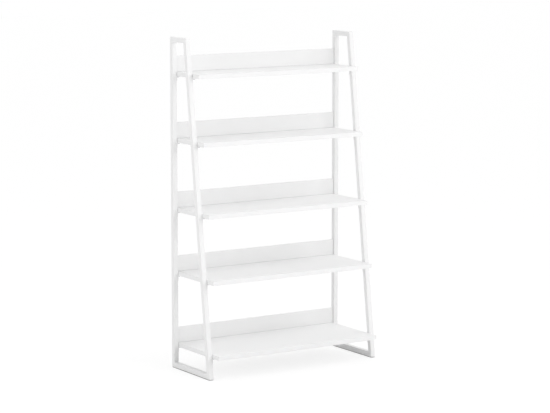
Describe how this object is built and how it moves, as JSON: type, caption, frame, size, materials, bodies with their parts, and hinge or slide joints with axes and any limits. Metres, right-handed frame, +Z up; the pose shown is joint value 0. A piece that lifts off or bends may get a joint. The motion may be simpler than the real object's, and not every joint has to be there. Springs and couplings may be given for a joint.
{
  "type": "staircase bookshelf",
  "caption": "Free-standing white bookshelf with two leaning side frames of square tube and open boards that grow deeper towards the floor, each with a low back rail.",
  "frame": {"origin": "on the floor under the middle of the shelf's bounding box", "axes": "+Z up, +X to the right of someone who faces the front, +Y from the front to the back"},
  "size_m": [1, 0.416, 1.673],
  "materials": {
    "frame_coat": "satin white powder coat",
    "board_finish": "satin white paint on fibreboard",
    "glide_nylon": "matte natural nylon",
    "bolt_steel": "zinc plate",
    "insert_brass": "plain brass",
    "screw_steel": "zinc plate"
  },
  "bodies": {
    "root": {"bottom_board": "board_finish", "bottom_left_front_cleat": "frame_coat", "bottom_left_rear_cleat": "frame_coat", "bottom_left_tab": "frame_coat", "bottom_rail": "board_finish", "bottom_right_front_cleat": "frame_coat", "bottom_right_rear_cleat": "frame_coat", "bottom_right_tab": "frame_coat", "cleat_bolts": "bolt_steel", "insert_nuts": "insert_brass", "left_floor_bar": "frame_coat", "left_front_glide": "glide_nylon", "left_leg": "frame_coat", "left_rear_glide": "glide_nylon", "left_top_bar": "frame_coat", "left_upright": "frame_coat", "lower_board": "board_finish", "lower_left_front_cleat": "frame_coat", "lower_left_rear_cleat": "frame_coat", "lower_left_tab": "frame_coat", "lower_rail": "board_finish", "lower_right_front_cleat": "frame_coat", "lower_right_rear_cleat": "frame_coat", "lower_right_tab": "frame_coat", "middle_board": "board_finish", "middle_left_front_cleat": "frame_coat", "middle_left_rear_cleat": "frame_coat", "middle_left_tab": "frame_coat", "middle_rail": "board_finish", "middle_right_front_cleat": "frame_coat", "middle_right_rear_cleat": "frame_coat", "middle_right_tab": "frame_coat", "rail_screws": "screw_steel", "right_floor_bar": "frame_coat", "right_front_glide": "glide_nylon", "right_leg": "frame_coat", "right_rear_glide": "glide_nylon", "right_top_bar": "frame_coat", "right_upright": "frame_coat", "tab_screws": "screw_steel", "top_board": "board_finish", "top_left_front_cleat": "frame_coat", "top_left_rear_cleat": "frame_coat", "top_left_tab": "frame_coat", "top_rail": "board_finish", "top_right_front_cleat": "frame_coat", "top_right_rear_cleat": "frame_coat", "top_right_tab": "frame_coat", "upper_board": "board_finish", "upper_left_front_cleat": "frame_coat", "upper_left_rear_cleat": "frame_coat", "upper_left_tab": "frame_coat", "upper_rail": "board_finish", "upper_right_front_cleat": "frame_coat", "upper_right_rear_cleat": "frame_coat", "upper_right_tab": "frame_coat"}
  },
  "joints": []
}
